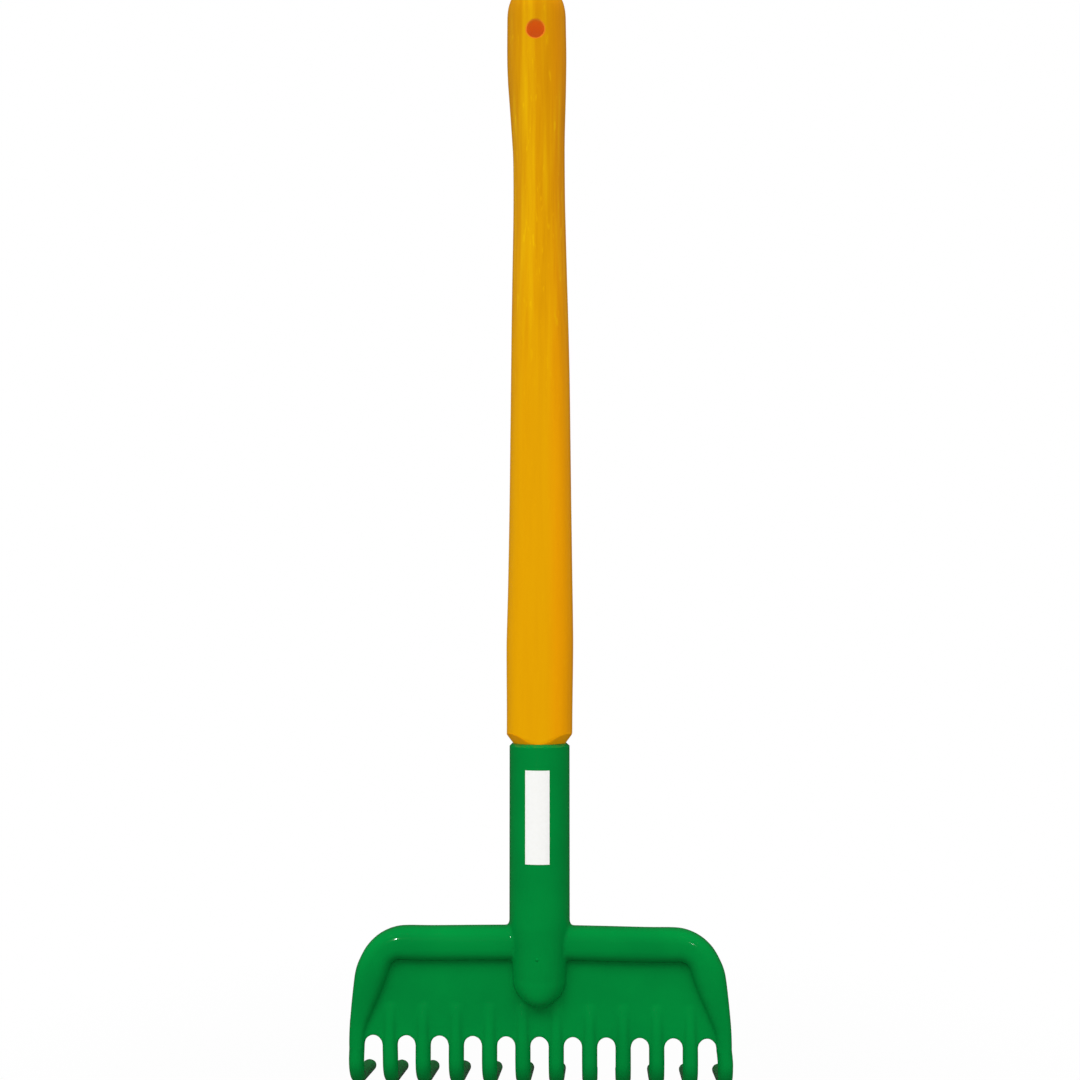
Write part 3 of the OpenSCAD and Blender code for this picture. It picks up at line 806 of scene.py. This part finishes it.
# %% [markdown]
# ## Moulded polypropylene
# Polypropylene comes out of a polished mould with a soft gloss, sharp enough to show a lamp as a small
# bright dot. The green is mixed into the plastic, so it is the same right through. Only faint clouds of the
# pigment and a very shallow waviness from shrinking break the evenness.

# %% Material: moulded polypropylene
GREEN, GREEN_DARK = "#008939", "#008136"
CLOUD, WAVE = 25.0, 9.0  # mm, from one cloud of pigment and from one shallow dip to the next

plastic, tree = new_material("moulded_polypropylene")
place = add_node(tree, "ShaderNodeTexCoord").outputs["Object"]
pigment = add_node(tree, "ShaderNodeTexNoise", values={"Scale": 1 / (CLOUD * MM), "Detail": 3.0},
                   links={"Vector": place})
colour = add_node(tree, "ShaderNodeValToRGB", links={"Fac": pigment.outputs["Fac"]})
for stop, position, code in zip(colour.color_ramp.elements, (0.3, 0.7), (GREEN_DARK, GREEN)):
    stop.position, stop.color = position, linear(code)
waves = add_node(tree, "ShaderNodeTexNoise", values={"Scale": 1 / (WAVE * MM), "Detail": 1.0},
                 links={"Vector": place})
relief = add_node(tree, "ShaderNodeBump", values={"Strength": 0.1, "Distance": 0.1 * MM},
                  links={"Height": waves.outputs["Fac"]})
gloss = add_node(tree, "ShaderNodeMapRange", values={"To Min": 0.07, "To Max": 0.1},
                 links={"Value": pigment.outputs["Fac"]})
shader = add_node(tree, "ShaderNodeBsdfPrincipled", values={"IOR": 1.49, "Specular IOR Level": 0.25},
                  links={"Base Color": colour.outputs["Color"], "Roughness": gloss.outputs["Result"],
                         "Normal": relief.outputs["Normal"]})
add_node(tree, "ShaderNodeOutputMaterial", links={"Surface": shader.outputs["BSDF"]})
print("plastic nodes:", len(tree.nodes))

# %% [markdown]
# ## White label film
# The label is a printed film before printing: white polypropylene with a smooth, slightly satin top coat. Its
# fibres and coating show only as a very faint mottle.

# %% Material: label film
MOTTLE = 1.5  # mm, from one paler spot to the next

film, tree = new_material("white_label_film")
place = add_node(tree, "ShaderNodeTexCoord").outputs["Object"]
mottle = add_node(tree, "ShaderNodeTexNoise", values={"Scale": 1 / (MOTTLE * MM), "Detail": 2.0},
                  links={"Vector": place})
colour = add_node(tree, "ShaderNodeValToRGB", links={"Fac": mottle.outputs["Fac"]})
for stop, position, code in zip(colour.color_ramp.elements, (0.2, 0.8), ("#FAFAF7", "#FEFEFC")):
    stop.position, stop.color = position, linear(code)
shader = add_node(tree, "ShaderNodeBsdfPrincipled", values={"IOR": 1.49, "Roughness": 0.4},
                  links={"Base Color": colour.outputs["Color"]})
add_node(tree, "ShaderNodeOutputMaterial", links={"Surface": shader.outputs["BSDF"]})
print("film nodes:", len(tree.nodes))

# %% [markdown]
# ## Zinc-plated steel
# Zinc plating is a bright, slightly blue metal skin. Tumbling the screws against each other leaves it a
# little rough, in patches.

# %% Material: zinc-plated steel
PATCH = 0.8  # mm, from one rougher patch to the next

zinc, tree = new_material("zinc_plated_steel")
place = add_node(tree, "ShaderNodeTexCoord").outputs["Object"]
patches = add_node(tree, "ShaderNodeTexNoise", values={"Scale": 1 / (PATCH * MM), "Detail": 3.0},
                   links={"Vector": place})
rough = add_node(tree, "ShaderNodeMapRange", values={"To Min": 0.22, "To Max": 0.42},
                 links={"Value": patches.outputs["Fac"]})
shader = add_node(tree, "ShaderNodeBsdfPrincipled", values={"Base Color": linear("#C3C6CB"), "Metallic": 1.0},
                  links={"Roughness": rough.outputs["Result"]})
add_node(tree, "ShaderNodeOutputMaterial", links={"Surface": shader.outputs["BSDF"]})
print("zinc nodes:", len(tree.nodes))

# %% [markdown]
# ## Dress the pieces
# Each piece gets its finish and smooth shading where the real surface is round. It is parented to the
# empty of the one rigid body, and the CAD node that it stands for is hidden.

# %% Finish, ride and replace
for piece, node, slot, material, sharp in (
        (stick, "handle", "lacquered_beech", beech, 30),
        (head, "rake_head", "green_polypropylene", plastic, 46),
        (label, "label", "label_film", film, 40),
        (screw, "fixing_screw", "zinc_plated_steel", zinc, 35)):
    piece.data.materials.clear()
    piece.data.materials.append(material)
    piece.data.shade_smooth()
    piece.data.set_sharp_from_angle(angle=math.radians(sharp))
    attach(piece, "root")
    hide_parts(node)

# %% [markdown]
# ## The floor
# A white floor runs under the rake and meets a white world at the horizon, so the background is one even
# white. What the camera sees of it is its own white. Only near the tines a part of real shading is left in,
# which keeps their soft shadow.

# %% Lay the floor
FLOOR_HALF, FLOOR_GAP = 6.0, 0.3 * MM  # m from the middle to each edge, and the gap below the rake

floor_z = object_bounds()[0][2] - FLOOR_GAP
floor_mesh = bpy.data.meshes.new("floor")
floor_mesh.from_pydata([(sx * FLOOR_HALF, sy * FLOOR_HALF, floor_z)
                        for sx, sy in ((-1, -1), (1, -1), (1, 1), (-1, 1))], [], [(0, 1, 2, 3)])
floor = bpy.data.objects.new("floor", floor_mesh)
floor.visible_glossy = False
bpy.context.collection.objects.link(floor)
floor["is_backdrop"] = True
print("floor at z =", round(floor_z / MM, 1), "mm")

# %% Material: white floor
FLOOR_GREY = "#909090"  # what the floor throws back as light
SHADOW_NEAR, SHADOW_FAR, LEAST_WHITE = 0.10, 0.35, 0.98  # m from the rake, and the share of white near it

paper, tree = new_material("white_floor")
rays = add_node(tree, "ShaderNodeLightPath")
seen = add_node(tree, "ShaderNodeMath", {"operation": "MAXIMUM"},
                links={0: rays.outputs["Is Camera Ray"], 1: rays.outputs["Is Transmission Ray"]})
place = add_node(tree, "ShaderNodeTexCoord").outputs["Object"]
flat = add_node(tree, "ShaderNodeVectorMath", TIMES, {1: (1.0, 1.0, 0.0)}, {0: place})
away = add_node(tree, "ShaderNodeVectorMath", {"operation": "LENGTH"}, links={0: flat.outputs["Vector"]})
whiter = add_node(tree, "ShaderNodeMapRange", SMOOTH,
                  {"From Min": SHADOW_NEAR, "From Max": SHADOW_FAR, "To Min": LEAST_WHITE, "To Max": 1.0},
                  {"Value": away.outputs["Value"]})
share = add_node(tree, "ShaderNodeMath", TIMES,
                 links={0: seen.outputs["Value"], 1: whiter.outputs["Result"]})
matt = add_node(tree, "ShaderNodeBsdfDiffuse", values={"Color": linear(FLOOR_GREY)})
white = add_node(tree, "ShaderNodeEmission", values={"Color": (1, 1, 1, 1), "Strength": 1.0})
mixed = add_node(tree, "ShaderNodeMixShader",
                 links={0: share.outputs["Value"], 1: matt.outputs["BSDF"], 2: white.outputs["Emission"]})
add_node(tree, "ShaderNodeOutputMaterial", links={"Surface": mixed.outputs["Shader"]})
floor_mesh.materials.append(paper)
print("floor nodes:", len(tree.nodes))

# %% [markdown]
# ## The light
# The picture has soft, even light from a bright room, a little stronger from above and from the left: the
# top of the rim is brightest and the right side of the stick is deepest. The strengths come from one trial
# render for each light alone. Light adds up, so the share of each light that gives the tones of the
# photograph was worked out. Two suns with wide disks shine from the upper left and the upper right, so that
# the 50 cm of the rake get the same light from end to end, and a weak lamp stands low in front. All three are
# kept out of reflections, as lamps behind big diffusers would be. Two small sparks in front do the reverse:
# they only leave bright dots on the corners of the rim, the left one stronger. A white card behind the rake
# gives the zinc of the screw something to mirror. The sparks light the head alone and the card the screw
# alone, which Blender calls light linking.


# %% Set the lamps
def add_lamp(name, kind, place, aim, energy, **settings):
    """A lamp that faces a point. Places are in mm."""
    data = bpy.data.lights.new(name, kind)
    data.energy = energy
    for key, value in settings.items():
        setattr(data, key, value)
    lamp = bpy.data.objects.new(name, data)
    lamp.location = Vector(place) * MM
    lamp.rotation_euler = (Vector(aim) * MM - lamp.location).to_track_quat("-Z", "Y").to_euler()
    bpy.context.collection.objects.link(lamp)
    return lamp


SHAFT_AIM, RIM_AIM, SCREW_AIM = (0, 0, -250), (0, 0, -300), (0, 0, -340)
SUN_DISK = math.radians(30)
SPARK = {"shape": "RECTANGLE", "size": 16 * MM, "size_y": 110 * MM}

left_lamp = add_lamp("left_lamp", "SUN", (-350, -600, 445), SHAFT_AIM, 1.2, angle=SUN_DISK)
right_lamp = add_lamp("right_lamp", "SUN", (350, -600, 445), SHAFT_AIM, 0.7, angle=SUN_DISK)
front_lamp = add_lamp("front_lamp", "AREA", (-150, -1400, -450), RIM_AIM, 3.0, shape="DISK", size=400 * MM)
for lamp in (left_lamp, right_lamp, front_lamp):
    lamp.visible_glossy = False
left_spark = add_lamp("left_spark", "AREA", (-400, -1404, 0), RIM_AIM, 2.2, **SPARK)
right_spark = add_lamp("right_spark", "AREA", (520, -1350, 70), RIM_AIM, 0.6, **SPARK)
card = add_lamp("card", "AREA", (300, 1000, -250), SCREW_AIM, 3.0, shape="DISK", size=1000 * MM)
for lamp, piece in ((left_spark, head), (right_spark, head), (card, screw)):
    lit = bpy.data.collections.new("lit_by_" + lamp.name)
    lit.objects.link(piece)
    lamp.light_linking.receiver_collection = lit
    lamp.visible_diffuse = lamp.visible_camera = False

# %% [markdown]
# ## The world
# The world fills the shadows with a plain grey, and the camera sees it as white. Gloss sees it nearly
# black, like the dark end of a studio, which keeps the green and the yellow deep right up to their edges.

# %% Set the world
FILL, DARK_STUDIO = 0.73, 0.04

world = bpy.data.worlds.new("world")
bpy.context.scene.world = world
world.cycles.sampling_method = "NONE"  # the lamps are sampled, and an even sky needs no aiming
world.use_nodes = True
tree = world.node_tree
tree.nodes.clear()
rays = add_node(tree, "ShaderNodeLightPath")
seen = add_node(tree, "ShaderNodeMath", {"operation": "MAXIMUM"},
                links={0: rays.outputs["Is Camera Ray"], 1: rays.outputs["Is Transmission Ray"]})
strength = add_node(tree, "ShaderNodeMath", TIMES_PLUS, {1: DARK_STUDIO - FILL, 2: FILL},
                    {0: rays.outputs["Is Glossy Ray"]})
fill = add_node(tree, "ShaderNodeBackground", values={"Color": (1, 1, 1, 1)},
                links={"Strength": strength.outputs["Value"]})
white = add_node(tree, "ShaderNodeBackground", values={"Color": (1, 1, 1, 1), "Strength": 1.0})
sky = add_node(tree, "ShaderNodeMixShader",
               links={0: seen.outputs["Value"], 1: fill.outputs["Background"],
                      2: white.outputs["Background"]})
add_node(tree, "ShaderNodeOutputWorld", links={"Surface": sky.outputs["Shader"]})
bpy.context.scene.view_settings.view_transform = "Standard"
print("world nodes:", len(tree.nodes))

# %% [markdown]
# ## Check the size
# The dressed rake has to fill the same box as the imported model, to a few millimetres. How far each corner
# of the two boxes differs is printed.

# %% Print how far the boxes differ
visual_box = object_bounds()
for corner, cad, own in zip(("low", "high"), cad_box, visual_box):
    print(corner, "corner, visual minus CAD, mm:", [round((b - a) / MM, 2) for a, b in zip(cad, own)])
